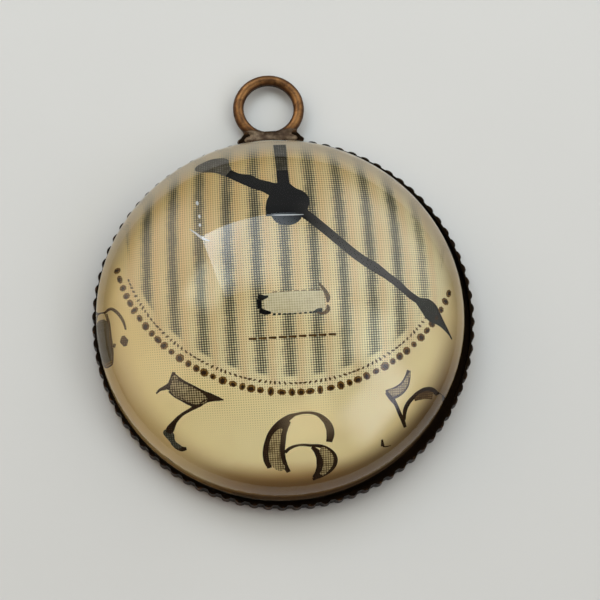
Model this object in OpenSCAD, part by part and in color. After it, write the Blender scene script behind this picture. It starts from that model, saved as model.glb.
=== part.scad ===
// Round pendant: a domed glass cabochon over a picture disc, in a shallow stamped tray
// with a milled edge and a soldered wire loop. It lies on its back, dome up, loop towards +Y.
// Origin: centre of the tray's flat back.

/* [Glass] */
// Diameter of the glass
glass_d = 24.8; // [24:0.1:24.8]
// Height of the glass's straight side
girdle_h = 1.5; // [0.8:0.1:2]
// Radius of the rounded shoulder between the side and the dome
shoulder_r = 1.8; // [0.5:0.1:3]
// Radius of the dome
dome_r = 18; // [15:0.5:30]
// How far the glass sits off the tray's middle, to the left
glass_left = 0.25; // [0:0.01:0.25]
// How far the glass sits off the tray's middle, towards the loop
glass_up = 0.05; // [0:0.01:0.05]

/* [Picture] */
// Diameter of the picture disc
picture_d = 24.6; // [23:0.1:24.8]
// Thickness of the picture's card
picture_t = 0.15; // [0.1:0.05:0.3]

/* [Tray] */
// Inside diameter of the tray
tray_in_d = 25.38; // [25.38:0.02:26]
// Thickness of the wall between the teeth
wall_t = 0.12; // [0.1:0.01:0.4]
// Height of the tray's wall above its back
wall_h = 1.2; // [1.1:0.1:2]
// Thickness of the tray's floor
floor_t = 0.3; // [0.2:0.05:0.5]
// Number of teeth round the edge
teeth = 84; // [60:1:96]
// Radius of a tooth's round back
tooth_r = 0.4; // [0.3:0.01:0.45]
// How far a tooth stands out of the wall
tooth_depth = 0.16; // [0.1:0.01:0.28]
// Bevel on the teeth's ends, above and below
tooth_bevel = 0.12; // [0.05:0.01:0.3]

/* [Loop] */
// Diameter of the loop's wire
wire_d = 0.76; // [0.6:0.02:1]
// Diameter of the loop's hole
hole_d = 3.5; // [3:0.02:4]
// Depth of the flat worn land round the inside of the hole
land_depth = 0.03; // [0.02:0.01:0.05]
// Height of the wire's middle above the back
loop_z = 0.62; // [0.5:0.02:0.8]
// How deep the wire is sunk into the teeth
loop_sink = 0.07; // [0.05:0.01:0.2]
// Half width of the solder foot where it meets the rim
foot_base = 2.25; // [2:0.05:2.6]
// Half width of the solder foot at the loop
foot_top = 1.75; // [1.4:0.05:1.9]
// Thickness of the solder foot
foot_t = 0.62; // [0.4:0.02:0.7]
// Radius of the hollow in each side of the foot
foot_hollow_r = 1.6; // [1.2:0.1:3]

/* [Hidden] */
$fn = 96;
gap = 0.05;
wall_r = tray_in_d / 2 + wall_t;
tip_r = wall_r + tooth_depth;
tooth_mid_r = tip_r - tooth_r;
picture_z = floor_t + gap;
glass_z = picture_z + picture_t + gap;
glass_r = glass_d / 2;
shoulder_x = glass_r - shoulder_r;
shoulder_z = girdle_h;
dome_z = shoulder_z - sqrt(pow(dome_r - shoulder_r, 2) - pow(shoulder_x, 2));
tangent_x = shoulder_x * dome_r / (dome_r - shoulder_r);
dome_top = dome_z + dome_r;
wire_r = wire_d / 2;
bore_r = hole_d / 2;
ring_r = bore_r - land_depth + wire_r;
loop_y = tip_r - loop_sink + ring_r + wire_r;
foot_top_y = loop_y - sqrt(pow(ring_r + wire_r, 2) - pow(foot_top, 2));
foot_hollow_x = (foot_base + foot_top) / 2 + foot_hollow_r * 0.96;
foot_hollow_y = (tip_r + foot_top_y) / 2 + foot_hollow_r * 0.5;

// The tray's plan: a disc with round-backed teeth all the way round
module toothed_plan() {
    circle(r = wall_r);
    for (i = [0 : teeth - 1])
        rotate(i * 360 / teeth)
            translate([tooth_mid_r, 0])
                circle(r = tooth_r, $fn = 32);
}

// Outline of the tray from the axis out, with the teeth's ends bevelled
module tray_profile() {
    polygon([
        [0, 0],
        [tip_r - tooth_bevel, 0],
        [tip_r + gap, tooth_bevel + gap],
        [tip_r + gap, wall_h - tooth_bevel - gap],
        [tip_r - tooth_bevel, wall_h],
        [0, wall_h]
    ]);
}

// The stamped tray: toothed cup with a flat floor
module tray() {
    difference() {
        intersection() {
            linear_extrude(wall_h)
                toothed_plan();
            rotate_extrude($fn = 168)
                tray_profile();
        }
        translate([0, 0, floor_t])
            cylinder(h = wall_h, d = tray_in_d, $fn = 168);
    }
}

// The round wire of the loop
module loop_wire() {
    translate([0, loop_y, loop_z])
        rotate_extrude()
            translate([ring_r, 0])
                circle(r = wire_r, $fn = 32);
}

// The solder foot that fills the corners between the loop and the rim
module solder_foot() {
    translate([0, 0, loop_z - foot_t / 2])
        linear_extrude(foot_t)
            difference() {
                polygon([
                    [-foot_base, wall_r - wall_t / 2],
                    [foot_base, wall_r - wall_t / 2],
                    [foot_base, tip_r],
                    [foot_top, foot_top_y],
                    [-foot_top, foot_top_y],
                    [-foot_base, tip_r]
                ]);
                for (side = [-1, 1])
                    translate([side * foot_hollow_x, foot_hollow_y])
                        circle(r = foot_hollow_r);
            }
}

// Tray, loop and foot soldered into one piece
module setting() {
    color("#3a2f22")
        difference() {
            union() {
                tray();
                difference() {
                    union() {
                        loop_wire();
                        solder_foot();
                    }
                    translate([0, 0, -gap])
                        cylinder(h = wall_h + 2 * gap, r = wall_r - wall_t / 2, $fn = 168);
                }
            }
            translate([0, loop_y, -gap])
                cylinder(h = wall_h + 2 * gap, r = bore_r);
        }
}

// The printed card under the glass
module picture_disc() {
    color("#cdbb8a")
        translate([-glass_left, glass_up, picture_z])
            cylinder(h = picture_t, d = picture_d, $fn = 168);
}

// Half section of the glass: straight side, rounded shoulder, dome
module glass_section() {
    square([glass_r, girdle_h]);
    translate([shoulder_x, shoulder_z])
        intersection() {
            circle(r = shoulder_r);
            translate([-shoulder_x, 0])
                square([glass_r, shoulder_r]);
        }
    intersection() {
        translate([0, dome_z])
            circle(r = dome_r, $fn = 256);
        square([tangent_x, dome_top + gap]);
    }
}

// The clear glass dome
module glass_cabochon() {
    color("#e8efe6", 0.35)
        translate([-glass_left, glass_up, glass_z])
            rotate_extrude($fn = 168)
                glass_section();
}

setting();
picture_disc();
glass_cabochon();
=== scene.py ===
"""Glass cabochon pendant: clear dome over a printed dial, in an antique bronze tray with a wire loop."""
import math

import bpy
from mathutils import Matrix, Vector


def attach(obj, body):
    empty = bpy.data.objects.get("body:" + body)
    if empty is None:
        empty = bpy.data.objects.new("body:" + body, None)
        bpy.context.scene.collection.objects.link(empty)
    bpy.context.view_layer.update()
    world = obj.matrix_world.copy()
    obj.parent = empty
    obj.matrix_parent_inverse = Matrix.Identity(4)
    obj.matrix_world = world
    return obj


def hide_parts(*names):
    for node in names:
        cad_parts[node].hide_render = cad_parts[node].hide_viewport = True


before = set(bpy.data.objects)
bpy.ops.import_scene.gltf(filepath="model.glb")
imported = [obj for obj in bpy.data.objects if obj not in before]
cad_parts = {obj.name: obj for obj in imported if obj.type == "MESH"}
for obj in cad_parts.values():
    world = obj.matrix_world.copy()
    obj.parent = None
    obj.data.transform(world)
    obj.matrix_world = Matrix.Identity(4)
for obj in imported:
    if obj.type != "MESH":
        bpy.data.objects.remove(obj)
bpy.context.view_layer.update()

MM = 0.001                          # metres

# Sizes of the metal and the glass, in mm, as in the part's source
GLASS_X, GLASS_Y = -0.25, 0.05      # middle of the glass and of the picture
GLASS_R = 12.4
GIRDLE_H = 1.5
SHOULDER_R = 1.8
DOME_R = 18.0
CAD_GLASS_Z = 0.55                  # underside of the solid, above its 0.05 mm layer of glue
PAPER_TOP = 0.50
GLUE_Z = 0.495                      # the glued glass starts just inside the paper, so that no air shows
TEETH_IN_R, TEETH_OUT_R = 12.80, 12.97    # the teeth lie between these rounds
LOOP_Y, LOOP_Z = 15.38, 0.62        # middle of the loop

# Sizes of the solder, in mm
COAT_R, COAT_WIRE_R = 2.13, 0.42    # the coat on the loop's wire: its round, and its own radius
COAT_END_Y = 13.75                  # it ends at this line
BAR_Y, BAR_Z, BAR_R = 13.05, 0.60, 0.55
BAR_STRETCH = 4.3                   # the bar's length over its width
SOLDER_FOOT_Z = 0.32                # its flat underside

# Sizes of the dial, in mm from the middle of the picture
STRIPE_PITCH = 1.675                # between the middles of the printed stripes
STRIPE_X = 0.43                     # where one of them crosses the middle
STRIPE_LEAN = 0.023                 # how far they drift to the right per mm upwards
FRINGE_X = 0.62                     # how far to the right of a stripe its warm fringe lies
CHAIN_X, CHAIN_Y = 0.88, 6.44       # middle of the round of beads
CHAIN_R = 11.17
HEARTS_R = CHAIN_R + 0.03
DOTTED_R = 10.62
STRIPED_R = 10.2                    # the stripes end at this round
CHAIN_ENDS = (-76, 61)              # degrees from straight below
DOTTED_ENDS = (-71, 52)
BEAD_PITCH, DOT_PITCH = 3.0, 1.6    # degrees
PRINTED_R = 12.25                   # nothing is printed past this round
RASTER = 0.147                      # dots of the print, as coarse as they need to be to show
INK_H = 0.006                       # how far the ink stands on the card, so that it shows from every side

# Node kinds, and settings that many nodes share
MATH = "ShaderNodeMath"
VECTOR_MATH = "ShaderNodeVectorMath"
MAP_RANGE = "ShaderNodeMapRange"
NOISE = "ShaderNodeTexNoise"
MIX = "ShaderNodeMix"
BUMP = "ShaderNodeBump"
TIMES = {"operation": "MULTIPLY"}
PLUS = {"operation": "ADD"}
SMOOTH = {"interpolation_type": "SMOOTHSTEP"}
COLOURS = {"data_type": "RGBA"}


# Small helpers
def linear(hex_colour):
    """sRGB hex to the linear colour that a shader takes."""
    parts = [int(hex_colour[digit:digit + 2], 16) / 255 for digit in (1, 3, 5)]
    return [part / 12.92 if part <= 0.04045 else ((part + 0.055) / 1.055) ** 2.4 for part in parts] + [1.0]


def only(piece):
    """Selects one piece and nothing else."""
    bpy.ops.object.select_all(action="DESELECT")
    piece.select_set(True)
    bpy.context.view_layer.objects.active = piece


def settle(piece, name, material):
    """Puts a finished piece's place into its mesh, names it and gives it its material."""
    only(piece)
    bpy.ops.object.transform_apply(location=True, rotation=True, scale=True)
    piece.name = piece.data.name = name
    dress(piece, material)
    return piece


def dress(piece, material):
    """Gives a piece one material in place of any that it has."""
    piece.data.materials.clear()
    piece.data.materials.append(material)


def weld(piece):
    """Closes the seams that are left where a curve was made a mesh, and turns its faces outwards."""
    only(piece)
    bpy.ops.object.mode_set(mode="EDIT")
    bpy.ops.mesh.select_all(action="SELECT")
    bpy.ops.mesh.remove_doubles(threshold=1e-8)
    bpy.ops.mesh.normals_make_consistent(inside=False)
    bpy.ops.object.mode_set(mode="OBJECT")
    return piece


def socket_of(node, key):
    """A socket of a node, by its number, or by its name among the sockets in use."""
    if isinstance(key, int):
        return node.inputs[key]
    return next(socket for socket in node.inputs if socket.enabled and socket.name == key)


def join_up(owner, source, target, key):
    """Joins a node, or one output of it, to a socket of another node."""
    if isinstance(source, bpy.types.Node):
        source = next(socket for socket in source.outputs if socket.enabled)
    owner.node_tree.links.new(source, socket_of(target, key))


def add(owner, kind, settings=None, links=None):
    """Adds a node to a material or lamp. Settings go on its sockets or on itself, links join it to others."""
    node = owner.node_tree.nodes.new(kind)
    for key, value in (settings or {}).items():
        if isinstance(key, str) and hasattr(node, key) and key not in node.inputs:
            setattr(node, key, value)
    for key, value in (settings or {}).items():
        if isinstance(key, int) or key in node.inputs:
            socket_of(node, key).default_value = value
    for key, source in (links or {}).items():
        join_up(owner, source, node, key)
    return node


def start(name, x=0.0, y=0.0):
    """A new material, its shader, and the place on it in mm, measured from x, y."""
    material = bpy.data.materials.new(name)
    material.use_nodes = True
    place = add(material, "ShaderNodeTexCoord").outputs["Object"]
    place = add(material, "ShaderNodeMapping", {"Location": (-x, -y, 0), "Scale": (1 / MM,) * 3},
                {"Vector": place})
    return material, material.node_tree.nodes["Principled BSDF"], place


# Materials of the metal
def antique_bronze():
    """Stamped brass, plated and darkened to antique bronze, then tumbled. It is brown-black in the hollows
    and warm on the worn edges. The loop's wire is also painted darker low on its sides, as shade."""
    bronze, shader, place = start("antique bronze")
    x, y, z = add(bronze, "ShaderNodeSeparateXYZ", links={"Vector": place}).outputs
    flat = add(bronze, "ShaderNodeCombineXYZ", links={"X": x, "Y": y})
    radius = add(bronze, VECTOR_MATH, {"operation": "LENGTH"}, {0: flat}).outputs["Value"]
    # patches of tarnish about 1 mm across, and grain of 0.1 mm
    patches = add(bronze, NOISE, {"Scale": 1.3, "Detail": 5.0, "Roughness": 0.7, "Distortion": 0.8},
                  {"Vector": place})
    grain = add(bronze, NOISE, {"Scale": 9.0, "Detail": 2.0, "Roughness": 0.6}, {"Vector": place})
    # the teeth are rubbed on their backs, more so on some than on others
    teeth = add(bronze, MAP_RANGE, {"From Min": TEETH_IN_R, "From Max": TEETH_OUT_R, "To Max": 1.1},
                {"Value": radius})
    some = add(bronze, MAP_RANGE, {"From Min": 0.35, "From Max": 0.65}, {"Value": patches})
    teeth = add(bronze, MATH, TIMES, {0: teeth, 1: some})
    # past the teeth this wear ends
    beyond = add(bronze, MAP_RANGE, {"From Min": 13.05, "From Max": 13.0}, {"Value": radius})
    teeth = add(bronze, MATH, TIMES, {0: teeth, 1: beyond})
    specks = add(bronze, MAP_RANGE, {"From Min": 0.44, "From Max": 0.62}, {"Value": grain})
    edge = add(bronze, MATH, TIMES, {0: teeth, 1: specks})
    # the loop hangs from a ring and is handled most, so its top is worn to brown; it is also painted darker
    # low on its sides, as shade on the round wire
    on_loop = add(bronze, MAP_RANGE, {"From Min": 13.3, "From Max": 14.1}, {"Value": y})
    # painted shade: the loop's wire is darker low down than on its top, by height alone
    top = add(bronze, MAP_RANGE, {"From Min": 0.60, "From Max": 0.97, "To Min": 0.25}, {"Value": z})
    wear_and_shade = add(bronze, MATH, TIMES, {0: on_loop, 1: top})
    # fine streaks run along the drawn wire
    from_hole = add(bronze, VECTOR_MATH, {"operation": "DISTANCE", 1: (0, LOOP_Y, 0)}, {0: flat})
    drawn = add(bronze, NOISE, {"noise_dimensions": "1D", "Scale": 7.0, "Detail": 2.0},
                {"W": from_hole.outputs["Value"]})
    drawn = add(bronze, MAP_RANGE, {"From Min": 0.35, "From Max": 0.65, "To Min": 0.7}, {"Value": drawn})
    wear_and_shade = add(bronze, MATH, TIMES, {0: wear_and_shade, 1: drawn})
    # tarnish is left on the loop in patches
    left = add(bronze, MAP_RANGE, {"From Min": 0.34, "From Max": 0.56, "To Min": 0.45, "To Max": 1.0},
               {"Value": patches})
    wear_and_shade = add(bronze, MATH, TIMES, {0: wear_and_shade, 1: left})
    worn_and_shaded = add(bronze, MATH, {"operation": "MAXIMUM"}, {0: wear_and_shade, 1: edge})
    tone = add(bronze, "ShaderNodeValToRGB", links={"Fac": worn_and_shaded})
    stops = tone.color_ramp.elements
    stops[0].position, stops[0].color = 0.10, linear("#140D07")
    stops[1].position, stops[1].color = 1.0, linear("#8C653E")
    stops.new(0.5).color = linear("#5F422B")
    join_up(bronze, tone, shader, "Base Color")
    rough = add(bronze, MAP_RANGE, {"From Min": 0.3, "From Max": 0.7, "To Min": 0.38, "To Max": 0.62},
                {"Value": grain})
    join_up(bronze, rough, shader, "Roughness")
    shader.inputs["Metallic"].default_value = 1.0
    dents = add(bronze, BUMP, {"Strength": 0.35, "Distance": 0.00003}, {"Height": grain})
    join_up(bronze, dents, shader, "Normal")
    return bronze


def soft_solder():
    """Tin solder under the same bronze plating, dulled: mottled brown with a grey beige cast."""
    solder, shader, place = start("soft solder")
    patches = add(solder, NOISE, {"Scale": 1.6, "Detail": 4.0, "Roughness": 0.7}, {"Vector": place})
    # a little barer away from the middle
    x = add(solder, "ShaderNodeSeparateXYZ", links={"Vector": place}).outputs["X"]
    aside = add(solder, MATH, {"operation": "ABSOLUTE"}, {0: x})
    aside = add(solder, MAP_RANGE, {"From Min": 0.5, "From Max": 1.6, "To Max": 0.1}, {"Value": aside})
    bare = add(solder, MATH, PLUS, {0: aside, 1: patches})
    tone = add(solder, "ShaderNodeValToRGB", links={"Fac": bare})
    stops = tone.color_ramp.elements
    stops[0].position, stops[0].color = 0.25, linear("#281B11")
    stops[1].position, stops[1].color = 0.9, linear("#8A7862")
    stops.new(0.52).color = linear("#473729")
    join_up(solder, tone, shader, "Base Color")
    shader.inputs["Metallic"].default_value = 0.8
    shader.inputs["Roughness"].default_value = 0.5
    lumps = add(solder, BUMP, {"Strength": 0.4, "Distance": 0.00005}, {"Height": patches})
    join_up(solder, lumps, shader, "Normal")
    return solder


# Materials of the print
def raster_of(material, x, y):
    """Height of the print's dot pattern, 0 to 1: where it is below the ink's cover, ink shows."""
    waves = []
    for way in (x, y):
        turn = add(material, MATH, {"operation": "MULTIPLY", 1: 2 * math.pi / RASTER}, {0: way})
        waves.append(add(material, MATH, {"operation": "SINE"}, {0: turn}))
    both = add(material, MATH, PLUS, {0: waves[0], 1: waves[1]})
    return add(material, MATH, {"operation": "MULTIPLY_ADD", 1: 0.25, 2: 0.5}, {0: both})


def stripe_place(paper, x, y, fibres):
    """How far right of one stripe's middle a place lies, with the stripes' lean and a slight wobble."""
    leant = add(paper, MATH, {"operation": "MULTIPLY_ADD", 1: -STRIPE_LEAN, 2: -STRIPE_X}, {0: y})
    leant = add(paper, MATH, PLUS, {0: x, 1: leant})
    wobble = add(paper, MATH, {"operation": "MULTIPLY_ADD", 1: 0.5, 2: -0.25}, {0: fibres})
    return add(paper, MATH, PLUS, {0: leant, 1: wobble})


def stripe_ink(paper, x, y, across, from_chain, dots):
    """How much grey-green ink shows: each stripe has a dense core and a pale side, and is made of dots."""
    beside = add(paper, MATH, {"operation": "PINGPONG", 1: STRIPE_PITCH / 2}, {0: across})
    pale = add(paper, MAP_RANGE, SMOOTH | {"From Min": 0.70, "From Max": 0.25, "To Max": 0.42},
               {"Value": beside})
    core = add(paper, MAP_RANGE, SMOOTH | {"From Min": 0.40, "From Max": 0.06}, {"Value": beside})
    # the cores are darker above the middle, weaker at the top, and the whole stripe is thinner at the right
    darker = add(paper, MAP_RANGE, {"From Min": -2.0, "From Max": 3.0, "To Min": 0.24, "To Max": 0.36},
                 {"Value": y})
    weaker = add(paper, MAP_RANGE, {"From Min": 7.0, "From Max": 10.0, "To Min": 1.0, "To Max": 0.6},
                 {"Value": y})
    core = add(paper, MATH, TIMES, {0: core, 1: weaker})
    thinner = add(paper, MAP_RANGE, {"From Min": 7.5, "From Max": 10.0, "To Min": 1.0, "To Max": 0.5},
                  {"Value": x})
    core = add(paper, MATH, TIMES, {0: core, 1: thinner})
    pale = add(paper, MATH, TIMES, {0: pale, 1: thinner})
    cover = add(paper, MATH, {"operation": "MULTIPLY_ADD"}, {0: core, 1: darker, 2: pale})
    # the stripes end inside the round of beads
    striped = add(paper, MAP_RANGE, {"From Min": STRIPED_R + 0.1, "From Max": STRIPED_R - 0.1},
                  {"Value": from_chain})
    cover = add(paper, MATH, TIMES, {0: cover, 1: striped})
    ink = add(paper, MATH, {"operation": "SUBTRACT"}, {0: cover, 1: dots})
    return add(paper, MAP_RANGE, {"From Min": -0.32, "From Max": 0.30}, {"Value": ink})


def ivory_and_tan(paper, x, y, across, margin, mottle):
    """The card between its dots: ivory, browner at the left and at the top as painted shade, and plain in the
    margin.
    """
    # painted shade: browner towards the upper left, where the dome throws less light on the card than on its
    # lower right
    aside = add(paper, MATH, {"operation": "MULTIPLY_ADD", 1: -0.8}, {0: x, 2: y})
    browner = add(paper, MAP_RANGE, {"From Min": -6.0, "From Max": 12.0}, {"Value": aside})
    card = add(paper, MIX, COLOURS | {"A": linear("#FDF2CA"), "B": linear("#E4C98F")}, {"Factor": browner})
    # the orange plate is out of register, so each stripe has a warm fringe on its right
    fringe = add(paper, MATH, {"operation": "ADD", 1: -FRINGE_X}, {0: across})
    fringe = add(paper, MATH, {"operation": "PINGPONG", 1: STRIPE_PITCH / 2}, {0: fringe})
    fringe = add(paper, MAP_RANGE, SMOOTH | {"From Min": 0.45, "From Max": 0.0, "To Max": 0.28},
                 {"Value": fringe})
    card = add(paper, MIX, COLOURS | {"B": linear("#DFA468")}, {"Factor": fringe, "A": card})
    plain = add(paper, MIX, COLOURS | {"A": linear("#FFEDB8"), "B": linear("#F2D18C")}, {"Factor": browner})
    card = add(paper, MIX, COLOURS, {"Factor": margin, "A": card, "B": plain})
    stained = add(paper, MAP_RANGE, {"From Min": 0.45, "From Max": 0.75, "To Max": 0.3}, {"Value": mottle})
    return add(paper, MIX, COLOURS | {"B": linear("#E2C48C")}, {"Factor": stained, "A": card})


def shaded_foot_and_browner_edge(paper, card, x, y, edge):
    """The print is painted browner at its foot, as shade where the rim keeps light off it. It is also browner
    towards its edge, except towards the loop, and dark at the very edge below."""
    # painted shade at the card's foot, where the rim keeps light off it
    foot = add(paper, MAP_RANGE, SMOOTH | {"From Min": -8.8, "From Max": -10.7, "To Max": 0.8}, {"Value": y})
    card = add(paper, MIX, COLOURS | {"B": linear("#A97A42")}, {"Factor": foot, "A": card})
    brown = add(paper, MAP_RANGE, SMOOTH | {"From Min": 9.0, "From Max": 11.7}, {"Value": edge})
    below = add(paper, MAP_RANGE, {"From Min": 4.0, "From Max": -4.0, "To Max": 0.85}, {"Value": y})
    brown = add(paper, MATH, TIMES, {0: brown, 1: below})
    card = add(paper, MIX, COLOURS | {"B": linear("#A87C48")}, {"Factor": brown, "A": card})
    dark = add(paper, MAP_RANGE, SMOOTH | {"From Min": 9.6, "From Max": 11.2}, {"Value": edge})
    below = add(paper, MATH, {"operation": "MULTIPLY_ADD", 1: -0.4}, {0: x, 2: y})
    below = add(paper, MAP_RANGE, {"From Min": -5.0, "From Max": -10.0, "To Max": 0.95}, {"Value": below})
    dark = add(paper, MATH, TIMES, {0: dark, 1: below})
    return add(paper, MIX, COLOURS | {"B": linear("#4E3826")}, {"Factor": dark, "A": card})


def bare_border(paper, card, y, edge):
    """The card's bare border, on all but its lower side: tan at the sides and paler towards the loop."""
    bare = add(paper, MAP_RANGE, SMOOTH | {"From Min": 10.2, "From Max": 11.5, "To Max": 0.85},
               {"Value": edge})
    upper = add(paper, MAP_RANGE, {"From Min": -5.0, "From Max": 3.0}, {"Value": y})
    bare = add(paper, MATH, TIMES, {0: bare, 1: upper})
    paler = add(paper, MAP_RANGE, {"From Min": 2.0, "From Max": 9.0}, {"Value": y})
    border = add(paper, MIX, COLOURS | {"A": linear("#AB926E"), "B": linear("#E6D8C4")}, {"Factor": paler})
    return add(paper, MIX, COLOURS, {"Factor": bare, "A": card, "B": border})


def printed_card():
    """Offset print on uncoated ivory card, aged to tan: grey-green stripes made of dots, browner margin, with
    painted shade at its upper left and at its foot.
    """
    paper, shader, place = start("printed card", GLASS_X, GLASS_Y)
    x, y = add(paper, "ShaderNodeSeparateXYZ", links={"Vector": place}).outputs[:2]
    flat = add(paper, "ShaderNodeCombineXYZ", links={"X": x, "Y": y})
    edge = add(paper, VECTOR_MATH, {"operation": "LENGTH"}, {0: flat}).outputs["Value"]
    from_chain = add(paper, VECTOR_MATH, {"operation": "DISTANCE", 1: (CHAIN_X, CHAIN_Y, 0)}, {0: flat})
    from_chain = from_chain.outputs["Value"]
    margin = add(paper, MAP_RANGE, {"From Min": CHAIN_R - 0.6, "From Max": CHAIN_R + 0.6},
                 {"Value": from_chain})
    mottle = add(paper, NOISE, {"Scale": 0.35, "Detail": 3.0}, {"Vector": place})
    fibres = add(paper, NOISE, {"Scale": 3.0, "Detail": 4.0, "Roughness": 0.7}, {"Vector": place})
    # the raster gets too fine to see towards the edge, so it flattens out to its mean there
    out = add(paper, VECTOR_MATH, {"operation": "DISTANCE", 1: (0, 2, 0)}, {0: flat}).outputs["Value"]
    out = add(paper, MAP_RANGE, {"From Min": 8.0, "From Max": 11.5}, {"Value": out})
    dots = add(paper, MIX, {"B": 0.5}, {"Factor": out, "A": raster_of(paper, x, y)})

    across = stripe_place(paper, x, y, fibres)
    card = ivory_and_tan(paper, x, y, across, margin, mottle)
    card = shaded_foot_and_browner_edge(paper, card, x, y, edge)
    # brown dots all over, fainter in the margin
    tint = add(paper, MAP_RANGE, {"From Min": 0.12, "From Max": 0.45, "To Min": 0.62, "To Max": 0.0},
               {"Value": dots})
    fainter = add(paper, MAP_RANGE, {"To Min": 1.0, "To Max": 0.5}, {"Value": margin})
    tint = add(paper, MATH, TIMES, {0: tint, 1: fainter})
    card = add(paper, MIX, COLOURS | {"B": linear("#8C6D3C")}, {"Factor": tint, "A": card})
    ink = stripe_ink(paper, x, y, across, from_chain, dots)
    card = add(paper, MIX, COLOURS | {"B": linear("#3C403A")}, {"Factor": ink, "A": card})
    join_up(paper, bare_border(paper, card, y, edge), shader, "Base Color")
    shader.inputs["Roughness"].default_value = 0.8
    shader.inputs["IOR"].default_value = 1.5
    shader.inputs["Specular IOR Level"].default_value = 0.1
    tooth = add(paper, BUMP, {"Strength": 0.15, "Distance": 0.00002}, {"Height": fibres})
    join_up(paper, tooth, shader, "Normal")
    return paper


def printing_ink(name, dark, light, share):
    """Offset ink on the card: the dots of the raster leave a share of lighter specks in it."""
    ink, shader, place = start(name, GLASS_X, GLASS_Y)
    x, y = add(ink, "ShaderNodeSeparateXYZ", links={"Vector": place}).outputs[:2]
    uneven = add(ink, NOISE, {"Scale": 2.5, "Detail": 3.0, "Roughness": 0.7}, {"Vector": place})
    gap = add(ink, MATH, TIMES, {0: raster_of(ink, x, y), 1: uneven})
    gap = add(ink, MAP_RANGE, {"From Min": 0.45 - share * 0.4, "From Max": 0.62 - share * 0.3},
              {"Value": gap})
    tone = add(ink, MIX, COLOURS | {"A": linear(dark), "B": linear(light)}, {"Factor": gap})
    join_up(ink, tone, shader, "Base Color")
    shader.inputs["Roughness"].default_value = 0.75
    shader.inputs["Specular IOR Level"].default_value = 0.1
    return ink


# Materials of the glass and of the board below
def fire_polished_glass():
    """Pressed soda-lime glass, fire polished: clear and very smooth, with a slight green tint."""
    glass, shader, place = start("fire polished glass")
    shader.inputs["Base Color"].default_value = linear("#FDFFFB")
    shader.inputs["Roughness"].default_value = 0.0
    shader.inputs["IOR"].default_value = 1.52
    shader.inputs["Transmission Weight"].default_value = 1.0
    # a pressed face is never quite flat: swells of about 4 mm
    swell = add(glass, NOISE, {"Scale": 0.25, "Detail": 1.0}, {"Vector": place})
    swell = add(glass, BUMP, {"Strength": 0.2, "Distance": 0.00002}, {"Height": swell})
    join_up(glass, swell, shader, "Normal")
    return glass


def white_board():
    """Matt white board: an even pale grey in this light, with a faint tooth."""
    board, shader, place = start("white board")
    faint = add(board, NOISE, {"Scale": 0.06, "Detail": 2.0}, {"Vector": place})
    tone = add(board, MIX, COLOURS | {"A": linear("#CBCBCB"), "B": linear("#C7C7C7")}, {"Factor": faint})
    join_up(board, tone, shader, "Base Color")
    shader.inputs["Roughness"].default_value = 0.7
    tooth = add(board, NOISE, {"Scale": 3.0, "Detail": 3.0}, {"Vector": place})
    tooth = add(board, BUMP, {"Strength": 0.1, "Distance": 0.00002}, {"Height": tooth})
    join_up(board, tooth, shader, "Normal")
    return board


BRONZE = antique_bronze()
SOLDER = soft_solder()
CARD = printed_card()
BLACK_INK = printing_ink("black ink", "#08090A", "#24231F", 0.1)
HUB_INK = printing_ink("hub ink", "#05070A", "#0E1013", 0.0)
NAVY_INK = printing_ink("navy ink", "#0C0F16", "#1E2430", 0.1)
# a lighter grey ink; on the hour hand's end it is painted reflection haze
PALE_GREY_INK = printing_ink("pale grey ink", "#38362E", "#6C675A", 0.5)
WORN_INK = printing_ink("worn ink", "#565149", "#8A8478", 0.4)
BROWN_INK = printing_ink("brown ink", "#2A1A0C", "#523A24", 0.2)
SEPIA_INK = printing_ink("sepia ink", "#4A3218", "#866A3E", 0.5)
BEAD_INK = printing_ink("bead ink", "#644418", "#9E783E", 0.5)
HATCHING_INK = printing_ink("hatching ink", "#3E301C", "#C0AC80", 0.7)
LIGHT_HATCHING_INK = printing_ink("light hatching ink", "#66543A", "#C8B484", 0.7)
GREY_INK = printing_ink("grey ink", "#5E503A", "#7E6E54", 0.3)
SLATE_INK = printing_ink("slate ink", "#161E1C", "#343C36", 0.3)
PALE_INK = printing_ink("pale ink", "#BDB08C", "#E2D8B8", 0.9)
WHITE_INK = printing_ink("white ink", "#D4D8E2", "#F0F2F8", 0.3)
GLASS = fire_polished_glass()
BOARD = white_board()


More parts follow.
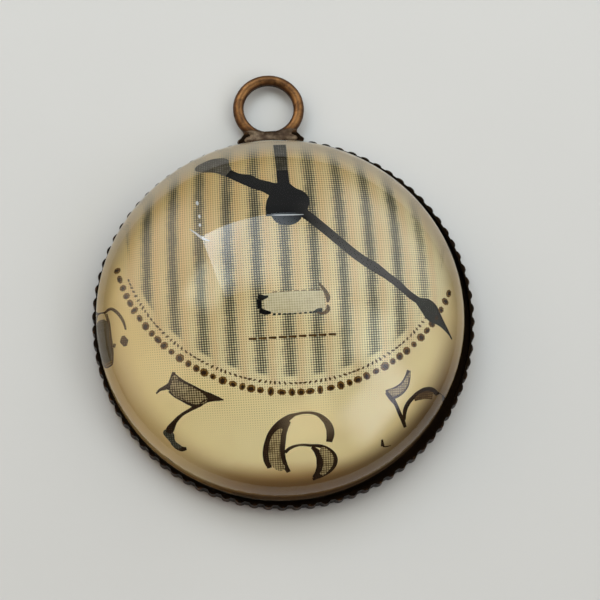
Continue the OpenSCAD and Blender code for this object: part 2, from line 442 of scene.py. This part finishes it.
# The glass
def glass_dome():
    """A cap cut from a sphere, its edge rounded over to a straight side and closed underneath."""
    middle = (GLASS_X * MM, GLASS_Y * MM)
    shoulder_x = GLASS_R - SHOULDER_R
    shoulder_z = CAD_GLASS_Z + GIRDLE_H
    dome_z = shoulder_z - math.sqrt((DOME_R - SHOULDER_R) ** 2 - shoulder_x ** 2)
    lean = math.asin(shoulder_x / (DOME_R - SHOULDER_R))
    radius, height = DOME_R * math.sin(lean), dome_z + DOME_R * math.cos(lean)
    bpy.ops.object.select_all(action="DESELECT")
    bpy.ops.mesh.primitive_uv_sphere_add(segments=256, ring_count=200, radius=DOME_R * MM,
                                         location=(*middle, dome_z * MM))
    dome = bpy.context.object
    bpy.ops.object.mode_set(mode="EDIT")
    bpy.ops.mesh.select_all(action="SELECT")
    bpy.ops.mesh.bisect(plane_co=(*middle, height * MM), plane_no=(0, 0, 1), clear_inner=True, threshold=1e-7)
    steps = 20
    angles = [lean + (math.pi / 2 - lean) * step / steps for step in range(1, steps + 1)]
    rings = [(shoulder_x + SHOULDER_R * math.sin(angle), shoulder_z + SHOULDER_R * math.cos(angle))
             for angle in angles]
    for next_radius, next_height in rings + [(GLASS_R, GLUE_Z)]:
        growth, drop = next_radius / radius, (next_height - height) * MM
        bpy.ops.mesh.extrude_region_move(TRANSFORM_OT_translate={"value": (0, 0, drop)})
        bpy.ops.transform.resize(value=(growth, growth, 1), center_override=(*middle, next_height * MM))
        radius, height = next_radius, next_height
    bpy.ops.mesh.edge_face_add()
    bpy.ops.mesh.select_all(action="SELECT")
    bpy.ops.mesh.normals_make_consistent(inside=False)
    bpy.ops.object.mode_set(mode="OBJECT")
    settle(dome, "glass_dome", GLASS)
    bpy.ops.object.shade_smooth_by_angle(angle=math.radians(40))
    return dome


# The solder
def solder_coat():
    """The coat of solder all round the loop's wire, on the part of it that is near the rim."""
    bpy.ops.object.select_all(action="DESELECT")
    bpy.ops.mesh.primitive_torus_add(major_segments=96, minor_segments=24, major_radius=COAT_R * MM,
                                     minor_radius=COAT_WIRE_R * MM, location=(0, LOOP_Y * MM, LOOP_Z * MM))
    coat = bpy.context.object
    bpy.ops.object.mode_set(mode="EDIT")
    bpy.ops.mesh.select_all(action="SELECT")
    bpy.ops.mesh.bisect(plane_co=(0, COAT_END_Y * MM, 0), plane_no=(0, 1, 0), clear_outer=True, use_fill=True,
                        threshold=1e-7)
    bpy.ops.object.mode_set(mode="OBJECT")
    return coat


def solder_bar():
    """A lumpy bar of solder along the rim."""
    bpy.ops.object.select_all(action="DESELECT")
    bpy.ops.mesh.primitive_uv_sphere_add(segments=48, ring_count=32, radius=BAR_R * MM,
                                         location=(0, BAR_Y * MM, BAR_Z * MM))
    bar = bpy.context.object
    bar.scale.x = BAR_STRETCH
    only(bar)
    bpy.ops.object.transform_apply(location=True, rotation=True, scale=True)
    bpy.ops.object.mode_set(mode="EDIT")
    bpy.ops.mesh.select_all(action="SELECT")
    bpy.ops.transform.vertex_random(offset=0.05 * MM, seed=4)
    bpy.ops.object.mode_set(mode="OBJECT")
    return bar


def solder_fillet():
    """The solder in which the loop is bedded: a coat on its wire and a bar along the rim, melted together."""
    coat = solder_coat()
    fillet = solder_bar()
    coat.select_set(True)
    bpy.ops.object.join()
    melt = fillet.modifiers.new("melt", "REMESH")
    melt.mode, melt.voxel_size = "VOXEL", 0.06 * MM
    bpy.ops.object.modifier_apply(modifier=melt.name)
    flow = fillet.modifiers.new("flow", "SMOOTH")
    flow.factor, flow.iterations = 0.6, 14
    bpy.ops.object.modifier_apply(modifier=flow.name)
    bpy.ops.object.mode_set(mode="EDIT")
    bpy.ops.mesh.select_all(action="SELECT")
    bpy.ops.mesh.bisect(plane_co=(0, 0, SOLDER_FOOT_Z * MM), plane_no=(0, 0, 1), clear_inner=True,
                        use_fill=True, threshold=1e-7)
    bpy.ops.mesh.select_all(action="SELECT")
    bpy.ops.mesh.normals_make_consistent(inside=False)
    bpy.ops.object.mode_set(mode="OBJECT")
    settle(fillet, "solder_fillet", SOLDER)
    bpy.ops.object.shade_smooth_by_angle(angle=math.radians(50))
    return fillet


# The print's tools
def new_curve():
    """An empty curve on the card's face, at the middle of the picture."""
    bpy.ops.object.select_all(action="DESELECT")
    bpy.ops.curve.primitive_bezier_curve_add(location=(GLASS_X * MM, GLASS_Y * MM, PAPER_TOP * MM))
    curve = bpy.context.object.data
    curve.splines.clear()
    return curve


def flat_shape(name, outlines, ink, lift=1.0):
    """A flat printed shape from the outlines of its parts. A third number of 1 makes that corner sharp."""
    curve = new_curve()
    curve.dimensions, curve.fill_mode, curve.resolution_u = "2D", "BOTH", 6
    curve.extrude = INK_H * lift * MM
    for outline in outlines:
        spline = curve.splines.new("BEZIER")
        spline.bezier_points.add(len(outline) - 1)
        spline.use_cyclic_u = True
        for point, corner in zip(spline.bezier_points, outline):
            point.co = (corner[0] * MM, corner[1] * MM, 0)
            point.handle_left_type = point.handle_right_type = "VECTOR" if corner[2:] else "AUTO"
    bpy.ops.object.convert(target="MESH")
    return weld(settle(bpy.context.object, name, ink))


def pen_strokes(name, strokes, ink, lift=1.5):
    """Printed pen strokes, drawn round and pressed flat: each is a line of places with the width there."""
    curve = new_curve()
    curve.dimensions, curve.resolution_u = "3D", 5
    curve.bevel_depth, curve.bevel_resolution, curve.use_fill_caps = MM, 2, True
    for stroke in strokes:
        spline = curve.splines.new("BEZIER")
        spline.bezier_points.add(len(stroke) - 1)
        for point, (x, y, width) in zip(spline.bezier_points, stroke):
            point.co = (x * MM, y * MM, 0)
            point.radius = width / 2
            point.handle_left_type = point.handle_right_type = "AUTO"
    bpy.ops.object.convert(target="MESH")
    widest = max(width for stroke in strokes for _, _, width in stroke)
    bpy.context.object.scale.z = 2 * INK_H * lift / widest
    return weld(settle(bpy.context.object, name, ink))


def trim_to_card(piece):
    """Cuts off what would be printed past the card's edge."""
    bpy.ops.object.select_all(action="DESELECT")
    bpy.ops.mesh.primitive_cylinder_add(vertices=96, radius=PRINTED_R * MM, depth=MM,
                                        location=(GLASS_X * MM, GLASS_Y * MM, PAPER_TOP * MM))
    card_edge = bpy.context.object
    only(piece)
    cut = piece.modifiers.new("card edge", "BOOLEAN")
    cut.operation, cut.object, cut.solver, cut.use_self = "INTERSECT", card_edge, "EXACT", True
    bpy.ops.object.modifier_apply(modifier=cut.name)
    bpy.data.objects.remove(card_edge)
    return piece


def ring_of_marks(name, radius, pitch, ends, size, corners, ink, uneven, lift=1.0):
    """One printed mark, copied round the bead circle between two angles, each a little off in size and
    place."""
    length, width = size
    middle = Vector(((GLASS_X + CHAIN_X) * MM, (GLASS_Y + CHAIN_Y) * MM, 0))
    own = Vector(((GLASS_X + CHAIN_X) * MM, (GLASS_Y + CHAIN_Y - radius) * MM, PAPER_TOP * MM))
    bpy.ops.object.select_all(action="DESELECT")
    bpy.ops.mesh.primitive_cylinder_add(vertices=corners, radius=0.5 * MM, depth=2 * INK_H * lift * MM,
                                        location=own)
    first = bpy.context.object
    first.scale = (length, width, 1)
    only(first)
    bpy.ops.object.transform_apply(location=True, rotation=True, scale=True)
    marks = []
    for place in range(math.ceil(ends[0] / pitch), math.floor(ends[1] / pitch) + 1):
        # the first mark is the one at place 0
        if place == 0:
            continue
        mark = first.copy()
        mark.data = first.data.copy()
        longer, wider = 1 + uneven * math.sin(place * 2.3), 1 + uneven * math.sin(place * 3.7)
        turned = Matrix.Diagonal((longer, wider, 1, 1)) @ Matrix.Rotation(place * 1.9 * uneven, 4, "Z")
        angle = math.radians(place * pitch + 1.2 * uneven * math.sin(place * 5.1))
        mark.data.transform(Matrix.Translation(middle) @ Matrix.Rotation(angle, 4, "Z")
                            @ Matrix.Translation(own - middle) @ turned @ Matrix.Translation(-own))
        bpy.context.collection.objects.link(mark)
        marks.append(mark)
    for mark in marks:
        mark.select_set(True)
    bpy.ops.object.join()
    return settle(first, name, ink)


# The print: hands and hub
def minute_hand():
    """The long hand at the lower right, with a spade near its point, edged in black on one side."""
    hand = [[(1.7, 6.15, 0.60), (2.1, 5.8, 0.58), (2.95, 4.98, 0.56), (3.92, 4.02, 0.54), (4.92, 3.12, 0.54),
             (5.82, 2.5, 0.60), (6.45, 2.02, 0.46), (7.1, 1.5, 0.46), (7.6, 1.02, 0.42), (8.0, 0.68, 0.44),
             (8.35, 0.45, 0.44)]]
    spade = [(8.2, 0.62, 1), (8.6, 0.6), (9.0, 0.5), (9.4, 0.2), (9.65, -0.15), (9.75, -0.5), (9.95, -0.95),
             (10.2, -1.35), (10.6, -2.05, 1), (10.1, -1.5), (9.6, -1.12), (9.1, -0.92), (8.75, -0.6),
             (8.5, -0.2), (8.2, 0.25, 1)]
    edge = [[(8.5, 0.6, 0.06), (9.1, 0.45, 0.13), (9.5, 0.1, 0.17), (9.75, -0.4, 0.17), (10.0, -0.95, 0.18),
             (10.25, -1.4, 0.16), (10.6, -2.05, 0.10)]]
    return [
        pen_strokes("minute_hand", hand, BLACK_INK, lift=1.0),
        flat_shape("minute_hand_spade", [spade], SLATE_INK, lift=1.2),
        pen_strokes("minute_hand_edge", edge, BLACK_INK, lift=2.0),
    ]


def hand_tail():
    """The tail that points to the upper left, and the worn spade at its end."""
    tail = [(0.45, 8.1, 1), (-0.2, 8.35), (-0.8, 8.6), (-1.2, 8.9), (-1.9, 9.1), (-2.4, 9.45, 1),
            (-2.75, 9.0, 1), (-2.2, 8.6), (-1.6, 8.2), (-1.1, 7.9), (-0.5, 7.6), (0.2, 7.0, 1)]
    spade = [(-2.3, 9.3, 1), (-2.5, 9.9), (-2.6, 10.35), (-3.2, 10.55), (-4.2, 10.35), (-4.7, 9.9),
             (-4.3, 9.6), (-3.4, 9.35), (-2.7, 8.95, 1)]
    return [
        flat_shape("hand_tail", [tail], BLACK_INK, lift=1.1),
        flat_shape("hand_tail_spade", [spade], WORN_INK),
    ]


def hour_hand():
    """The short hand that points up, lighter towards its end as a painted reflection haze on the glass."""
    hand = [(0.36, 8.0, 1), (0.36, 9.1, 1), (1.08, 9.1, 1), (1.1, 8.0, 1)]
    # painted reflection: the hand's end is drawn in a lighter ink
    hazed_end = [(0.36, 9.05, 1), (0.32, 11.3, 1), (1.12, 11.3, 1), (1.08, 9.05, 1)]
    return [
        flat_shape("hour_hand", [hand], BLACK_INK, lift=1.2),
        flat_shape("hour_hand_hazed_end", [hazed_end], PALE_GREY_INK),
    ]


def hub():
    """The hub that the hands turn on: a dark block over a round, with fine white lines on it."""
    lower = [(-0.15, 6.0, 1), (0.1, 5.6), (0.6, 5.35), (1.1, 5.38), (1.5, 5.62), (1.75, 6.0, 1)]
    block = [(-0.45, 6.0, 1), (-0.38, 6.9), (-0.1, 7.5), (0.1, 7.95), (0.4, 8.25, 1), (1.05, 8.2, 1),
             (1.4, 7.8), (1.9, 7.5), (2.15, 7.1), (2.1, 6.5), (1.8, 6.0, 1)]
    lines = [[(-0.45, 6.06, 0.05), (0.3, 6.02, 0.10), (1.1, 5.99, 0.10), (1.75, 5.98, 0.07)],
             [(1.76, 6.0, 0.05), (1.88, 6.5, 0.05), (1.98, 7.1, 0.03)],
             [(0.62, 5.9, 0.05), (0.62, 5.55, 0.05)]]
    return [
        flat_shape("hub", [lower], NAVY_INK, lift=1.3),
        flat_shape("hub_block", [block], HUB_INK, lift=1.4),
        pen_strokes("hub_highlight", lines, WHITE_INK, lift=2.2),
    ]


# The print: old-style numerals with their feet outwards, dark pen strokes over mottled hatching
def numeral_6():
    """The 6 at the bottom of the dial."""
    hatching = [[(-0.7, -6.9), (-1.15, -7.7), (-1.3, -8.6), (-1.1, -9.45), (-0.5, -9.7), (-0.55, -8.6),
                 (-0.45, -7.7), (-0.35, -7.0)],
                [(1.9, -8.35), (2.4, -8.6), (2.65, -9.2), (2.3, -9.95), (1.85, -10.2), (2.0, -9.3)]]
    strokes = [[(0.55, -6.06, 0.14), (0.1, -6.25, 0.36), (-0.45, -6.65, 0.52), (-0.95, -7.12, 0.44),
                (-1.25, -7.7, 0.42), (-1.42, -8.4, 0.46), (-1.42, -9.0, 0.44), (-1.3, -9.5, 0.28)],
               [(0.05, -6.5, 0.30), (-0.25, -7.0, 0.42), (-0.42, -7.7, 0.44), (-0.5, -8.5, 0.42),
                (-0.42, -9.2, 0.40), (-0.15, -9.85, 0.26)],
               [(0.4, -6.1, 0.18), (1.1, -6.03, 0.15), (1.7, -6.15, 0.20), (2.1, -6.45, 0.32),
                (2.42, -6.95, 0.46), (2.5, -7.5, 0.50), (2.4, -8.0, 0.38)],
               [(-0.3, -8.5, 0.22), (0.0, -8.25, 0.20), (0.6, -8.08, 0.15), (1.3, -8.15, 0.18),
                (1.9, -8.25, 0.24), (2.4, -8.55, 0.27), (2.7, -8.95, 0.28), (2.75, -9.4, 0.26),
                (2.5, -9.85, 0.24), (2.0, -10.2, 0.22), (1.3, -10.45, 0.18)],
               [(1.35, -8.25, 0.20), (1.7, -8.7, 0.42), (1.82, -9.3, 0.50), (1.72, -9.9, 0.46),
                (1.4, -10.35, 0.28)]]
    return [
        flat_shape("numeral_6_hatching", hatching, LIGHT_HATCHING_INK),
        pen_strokes("numeral_6", strokes, BROWN_INK),
    ]


def numeral_7():
    """The 7 at the lower left, with a faded foot."""
    hatching = [[(-6.6, -3.3), (-6.2, -3.7), (-5.4, -4.15), (-4.9, -4.55), (-4.7, -4.9), (-5.3, -5.15),
                 (-6.0, -4.95), (-6.9, -4.3), (-6.85, -3.8)]]
    foot = [[(-7.7, -6.8), (-7.1, -6.9), (-7.0, -7.5), (-6.65, -7.95), (-7.0, -8.0), (-7.4, -7.5)]]
    strokes = [[(-6.6, -3.08, 0.20), (-6.68, -3.45, 0.36), (-6.88, -3.85, 0.34), (-6.98, -4.2, 0.30)],
               [(-6.9, -3.85, 0.32), (-7.25, -4.03, 0.28), (-7.6, -4.15, 0.17), (-7.87, -4.38, 0.10)],
               [(-6.6, -3.3, 0.30), (-6.3, -3.62, 0.36), (-5.85, -3.88, 0.26), (-5.4, -4.12, 0.22),
                (-5.0, -4.42, 0.32), (-4.5, -4.66, 0.34), (-4.0, -4.86, 0.20), (-3.72, -4.97, 0.08)],
               [(-6.98, -4.2, 0.28), (-6.65, -4.5, 0.34), (-6.2, -4.78, 0.36), (-5.8, -5.05, 0.32),
                (-5.35, -5.2, 0.34), (-4.9, -4.95, 0.38), (-4.4, -4.88, 0.28), (-3.9, -4.95, 0.12)],
               [(-5.35, -5.25, 0.28), (-5.85, -5.5, 0.20), (-6.4, -5.8, 0.20), (-6.85, -6.2, 0.28),
                (-7.2, -6.65, 0.50), (-7.4, -6.95, 0.50)],
               [(-7.3, -7.6, 0.14), (-7.0, -7.85, 0.30), (-6.65, -8.02, 0.36), (-6.35, -8.0, 0.20)]]
    return [
        flat_shape("numeral_7_hatching", hatching, HATCHING_INK),
        flat_shape("numeral_7_foot", foot, PALE_GREY_INK),
        pen_strokes("numeral_7", strokes, BROWN_INK),
    ]


def numeral_5():
    """The 5 at the lower right, with the part of its bowl that can be seen."""
    hatching = [[(7.55, -3.9), (7.5, -4.4), (7.3, -4.95), (6.75, -5.4), (6.3, -5.45), (6.05, -5.1),
                 (6.6, -4.9), (7.1, -4.6), (7.35, -4.2)]]
    strokes = [[(6.0, -5.08, 0.22), (6.55, -4.92, 0.20), (7.05, -4.62, 0.20), (7.35, -4.2, 0.22),
                (7.52, -3.85, 0.28)],
               [(7.52, -3.9, 0.20), (7.5, -4.4, 0.17), (7.28, -4.95, 0.22), (6.8, -5.35, 0.24),
                (6.35, -5.5, 0.26)],
               [(6.05, -5.1, 0.26), (6.3, -5.45, 0.32), (6.5, -5.75, 0.28)],
               [(6.4, -5.55, 0.28), (6.65, -6.0, 0.22), (6.85, -6.5, 0.24), (7.08, -7.0, 0.27),
                (7.25, -7.5, 0.20)],
               [(7.18, -7.0, 0.18), (7.22, -6.4, 0.28), (7.42, -5.95, 0.30), (7.75, -5.6, 0.27),
                (8.15, -5.3, 0.27), (8.65, -5.12, 0.25), (9.1, -5.2, 0.30), (9.45, -5.5, 0.30)],
               [(5.72, -8.15, 0.12), (5.76, -8.6, 0.24)],
               [(5.76, -8.62, 0.10), (6.0, -8.66, 0.08), (6.3, -8.62, 0.05)]]
    bowl = [[(7.85, -5.72, 0.26), (8.25, -5.56, 0.46), (8.75, -5.5, 0.55), (9.15, -5.6, 0.50)]]
    return [
        flat_shape("numeral_5_hatching", hatching, LIGHT_HATCHING_INK),
        pen_strokes("numeral_5_bowl", bowl, SEPIA_INK, lift=1.0),
        pen_strokes("numeral_5", strokes, BROWN_INK),
    ]


def numeral_8():
    """The 8 at the left, which the card's edge cuts off."""
    hatching = [[(-11.4, 0.6), (-10.85, 0.4), (-10.75, -0.8), (-10.75, -2.2), (-11.3, -2.4)]]
    strokes = [[(-11.0, 0.95, 0.16), (-10.5, 1.18, 0.19), (-10.15, 1.0, 0.21), (-9.8, 0.6, 0.21),
                (-9.6, 0.2, 0.18), (-9.5, -0.25, 0.12)],
               [(-10.85, 0.9, 0.20), (-10.72, 0.3, 0.26), (-10.68, -0.5, 0.28), (-10.62, -1.4, 0.26),
                (-10.7, -2.2, 0.24), (-10.9, -2.8, 0.20)],
               [(-9.72, -0.62, 0.22), (-9.68, -0.95, 0.62), (-9.62, -1.28, 0.24)],
               [(-10.5, -1.15, 0.26), (-10.32, -1.22, 0.28)]]
    pieces = [
        flat_shape("numeral_8_hatching", hatching, GREY_INK),
        pen_strokes("numeral_8", strokes, SEPIA_INK),
    ]
    return [trim_to_card(piece) for piece in pieces]


# The print: plaque, painted glints and beads
def plaque():
    """The blank plaque and the plain dashed rule under it."""
    plate = [(-0.9, 0.12, 1), (-0.95, 1.25, 1), (0.8, 1.32), (2.55, 1.25, 1), (2.6, 0.12, 1), (0.8, 0.02)]
    left = [[(-1.25, 1.15, 0.24), (-0.95, 1.05, 0.34), (-0.65, 1.1, 0.16)],
            [(-1.2, 0.95, 0.26), (-1.2, 0.4, 0.24)],
            [(-1.2, 0.3, 0.24), (-0.9, 0.17, 0.34), (-0.55, 0.12, 0.16)]]
    right = [[(2.35, 1.7, 0.12), (2.62, 1.3, 0.22), (2.8, 0.85, 0.28), (2.76, 0.55, 0.14)],
             [(2.76, 0.4, 0.14), (2.74, 0.1, 0.28), (2.45, -0.08, 0.18), (2.1, -0.02, 0.12)]]
    corner = [[(1.85, 0.02, 0.10), (2.2, 0.12, 0.24), (2.42, 0.1, 0.3)]]
    foot = [[(-0.45 + 0.3 * dash, 0.01, 0.13), (-0.28 + 0.3 * dash, 0.0, 0.13)] for dash in range(8)]
    top = [[(-0.4 + 0.42 * dash, 1.33, 0.05), (-0.1 + 0.42 * dash, 1.34, 0.05)] for dash in range(7)]
    rule = [[(-1.95 + 0.58 * dash, -1.36, 0.13), (-1.5 + 0.58 * dash, -1.38, 0.16)] for dash in range(9)]
    return [
        flat_shape("plaque", [plate], PALE_INK, lift=0.5),
        pen_strokes("plaque_left_end", left, BLACK_INK),
        pen_strokes("plaque_right_end", right, SEPIA_INK),
        pen_strokes("plaque_lines", foot + corner, SLATE_INK, lift=1.2),
        pen_strokes("plaque_top_line", top, SEPIA_INK, lift=1.2),
        pen_strokes("dashed_rule", rule, SEPIA_INK),
    ]


def painted_glints():
    """White marks on the card under the glass: painted glints, standing in for small lamps shining off the
    glass.
    """
    # painted highlights: white strokes where the glass shows glints
    glint_marks = [[(-4.55, 7.45, 0.10), (-4.53, 7.3, 0.20), (-4.5, 7.15, 0.10)],
              [(-4.45, 6.5, 0.08), (-4.42, 6.4, 0.16), (-4.4, 6.25, 0.08)],
              [(-4.42, 5.92, 0.08), (-4.4, 5.8, 0.16), (-4.38, 5.7, 0.08)],
              [(-5.05, 5.62, 0.04), (-4.65, 5.28, 0.12), (-4.3, 4.95, 0.16), (-3.85, 4.72, 0.05)]]
    return [pen_strokes("painted_glints", glint_marks, WHITE_INK, lift=1.6)]


def round_of_beads():
    """The round of beads, the dark heart of each, and the dotted line inside it."""
    return [
        ring_of_marks("bead_chain", CHAIN_R, BEAD_PITCH, CHAIN_ENDS, (0.50, 0.46), 7, BEAD_INK, 0.2),
        ring_of_marks("bead_hearts", HEARTS_R, BEAD_PITCH, CHAIN_ENDS, (0.30, 0.26), 5, BROWN_INK, 0.3, 1.6),
        ring_of_marks("dotted_line", DOTTED_R, DOT_PITCH, DOTTED_ENDS, (0.26, 0.13), 6, SEPIA_INK, 0.15),
    ]


# Putting the pendant together
dress(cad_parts["setting"], BRONZE)
dress(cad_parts["picture_disc"], CARD)

dome = glass_dome()
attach(dome, "root")
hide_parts("glass_cabochon")

solder = solder_fillet()
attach(solder, "root")

hands = minute_hand() + hand_tail() + hour_hand() + hub()
numerals = numeral_6() + numeral_7() + numeral_5() + numeral_8()
for piece in hands + numerals + plaque() + painted_glints() + round_of_beads():
    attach(piece, "root")

# The board that the pendant lies on
FLOOR_SIZE = 3.0                    # metres
FLOOR_Z = -0.00002                  # just below the tray's back, so that the two faces don't share a plane
bpy.ops.object.select_all(action="DESELECT")
bpy.ops.mesh.primitive_plane_add(size=FLOOR_SIZE, location=(0, 0, FLOOR_Z))
floor = settle(bpy.context.object, "floor", BOARD)

# The light of the room
world = bpy.data.worlds.new("soft room")
world.use_nodes = True
world.node_tree.nodes["Background"].inputs["Color"].default_value = linear("#E8EAEE")
world.node_tree.nodes["Background"].inputs["Strength"].default_value = 0.02
bpy.context.scene.world = world
bpy.context.scene.view_settings.view_transform = "Standard"


def softbox(name, at, width, depth, glow, tint="#FFFFFF", fade=1.0, across=1.0, soft=False):
    """A rectangular lamp facing the pendant, its place and size in mm. Its upper side is dimmed to a share of
    its lower side, as cloth over a window does, and its right side to a share of its left. A soft one also
    fades out towards its four sides, as a white wall lit from the middle does."""
    bpy.ops.object.light_add(type="AREA", location=[value * MM for value in at])
    lamp = bpy.context.object
    lamp.name = name
    lamp.rotation_euler = (-Vector(at)).to_track_quat("-Z", "Y").to_euler()
    light = lamp.data
    light.shape, light.size, light.size_y = "RECTANGLE", width * MM, depth * MM
    light.energy = glow * math.pi * width * MM * depth * MM
    light.color = linear(tint)[:3]
    light.use_nodes = True
    over = add(light, "ShaderNodeNewGeometry").outputs["Parametric"]
    over = add(light, "ShaderNodeSeparateXYZ", links={"Vector": over}).outputs
    dimmed = add(light, MAP_RANGE, {"To Min": 1.0, "To Max": fade}, {"Value": over["Y"]})
    aside = add(light, MAP_RANGE, {"To Min": across, "To Max": 1.0}, {"Value": over["X"]})
    dimmed = add(light, MATH, TIMES, {0: dimmed, 1: aside})
    for way in ("X", "Y") if soft else ():
        inwards = add(light, MATH, {"operation": "PINGPONG", 1: 0.5}, {0: over[way]})
        inwards = add(light, MAP_RANGE, SMOOTH | {"From Max": 0.3}, {"Value": inwards})
        dimmed = add(light, MATH, TIMES, {0: dimmed, 1: inwards})
    join_up(light, dimmed, light.node_tree.nodes["Emission"], "Strength")


softbox("window softbox", (-28, 172, 236), 214, 180, 7.5, "#E0F0FF", fade=0.15, across=0.0)
softbox("front softbox", (278, -200, 242), 340, 210, 3.4, "#F0F2FF", fade=0.7, soft=True)
softbox("high softbox", (77, 133, 266), 392, 266, 2.1, "#F6FAF4", soft=True)
softbox("north wall", (-40, 420, 170), 1000, 330, 0.25, soft=True)
softbox("north west wall", (-326, 274, 198), 520, 330, 0.8, "#FFEEDA", soft=True)
softbox("north east wall", (317, 285, 198), 520, 330, 1.15, soft=True)
softbox("west wall", (-440, 180, 300), 1300, 640, 1.4, "#FFEEDA", soft=True)
softbox("east wall", (440, 180, 270), 1300, 640, 0.8, "#FFF8F0", soft=True)
softbox("side softbox", (256, -22, 306), 210, 210, 2.4, "#F4FFF0", soft=True)
softbox("left softbox", (-141, 106, 234), 130, 120, 2.7, "#F0FFF4", soft=True)
softbox("warm panel", (53, -198, 219), 170, 140, 1.8, "#FFE2B4", soft=True)

# The camera
CAMERA_UP, CAMERA_ROUND, CAMERA_ROLL = 74.518, -10.479, 6.775    # degrees
CAMERA_FROM = 150.0                                              # mm from the tray's middle
turned = (Matrix.Rotation(math.radians(CAMERA_ROUND), 3, "Z")
          @ Matrix.Rotation(math.radians(90 - CAMERA_UP), 3, "X")
          @ Matrix.Rotation(math.radians(CAMERA_ROLL), 3, "Z"))
bpy.ops.object.camera_add(location=turned @ Vector((0, 0, CAMERA_FROM * MM)), rotation=turned.to_euler())
camera = bpy.context.object
camera.data.sensor_width, camera.data.lens = 36.0, 131.9
camera.data.shift_x, camera.data.shift_y = 0.0277, 0.0392
camera.data.clip_start = 0.01
camera.data.dof.use_dof = False
bpy.context.scene.camera = camera
